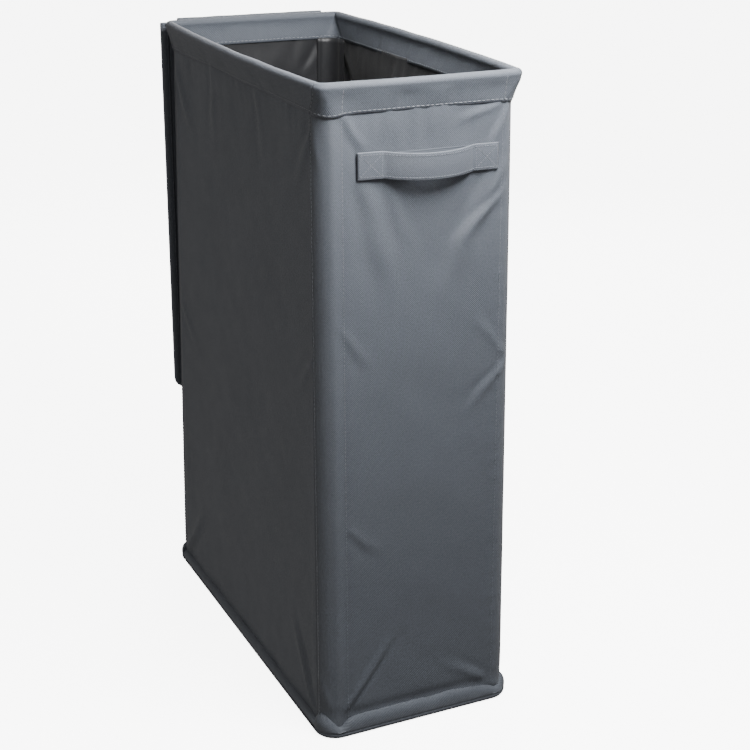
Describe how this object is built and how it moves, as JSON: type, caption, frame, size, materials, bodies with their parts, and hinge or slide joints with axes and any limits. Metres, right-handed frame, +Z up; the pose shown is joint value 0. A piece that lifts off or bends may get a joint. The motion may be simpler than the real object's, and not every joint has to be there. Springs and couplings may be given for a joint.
{
  "type": "laundry hamper",
  "caption": "Slim upright fabric laundry hamper on wire frames, with side handles, a loose base board and a hinged lid hanging open behind it.",
  "frame": {"origin": "middle of the base, on the surface the hamper stands on", "axes": "+Z up, +X across the narrow side, -Y towards the front handle"},
  "size_m": [0.196, 0.4, 0.575],
  "materials": {
    "grey_fabric": "mid-grey woven polyester with a soft sheen",
    "dark_lining": "dark coated backing of the same cloth",
    "webbing": "folded and stitched grey cloth strap",
    "grey_board": "stiff pressed board",
    "stay_plastic": "thin springy white plastic strip",
    "steel_wire": "zinc-plated spring wire"
  },
  "bodies": {
    "hamper": {"front_wall": "grey_fabric", "back_wall": "grey_fabric", "left_wall": "grey_fabric", "right_wall": "grey_fabric", "floor_panel": "dark_lining", "front_hem": "grey_fabric", "back_hem": "grey_fabric", "left_hem": "grey_fabric", "right_hem": "grey_fabric", "rim_wire": "steel_wire", "rim_ferrule": "steel_wire", "front_base_roll": "grey_fabric", "back_base_roll": "grey_fabric", "left_base_roll": "grey_fabric", "right_base_roll": "grey_fabric", "base_wire": "steel_wire", "base_ferrule": "steel_wire", "front_left_sleeve": "dark_lining", "front_right_sleeve": "dark_lining", "back_right_sleeve": "dark_lining", "back_left_sleeve": "dark_lining", "front_left_stay": "stay_plastic", "front_right_stay": "stay_plastic", "back_right_stay": "stay_plastic", "back_left_stay": "stay_plastic", "front_handle": "webbing", "back_handle": "webbing", "hinge_tape_rim_half": "webbing"},
    "base_board": {"base_board_underside": "dark_lining", "base_board_core": "grey_board", "base_board_cover": "dark_lining", "base_board_tab": "webbing"},
    "lid": {"lid_lining": "dark_lining", "lid_board": "grey_board", "lid_top_cover": "grey_fabric", "lid_edge_binding": "webbing", "lid_tab": "webbing", "hinge_tape_lid_half": "webbing"}
  },
  "joints": [
    {"name": "lid_hinge", "type": "hinge", "parent": "hamper", "child": "lid", "pos_m": [0, 0.1973, 0.57795], "axis": [1, 0, 0], "range_deg": [0, 270]},
    {"name": "base_board_hinge", "type": "hinge", "parent": "hamper", "child": "base_board", "pos_m": [-0.0814, 0, 0.0045], "axis": [0, -1, 0], "range_deg": [0, 88]}
  ]
}
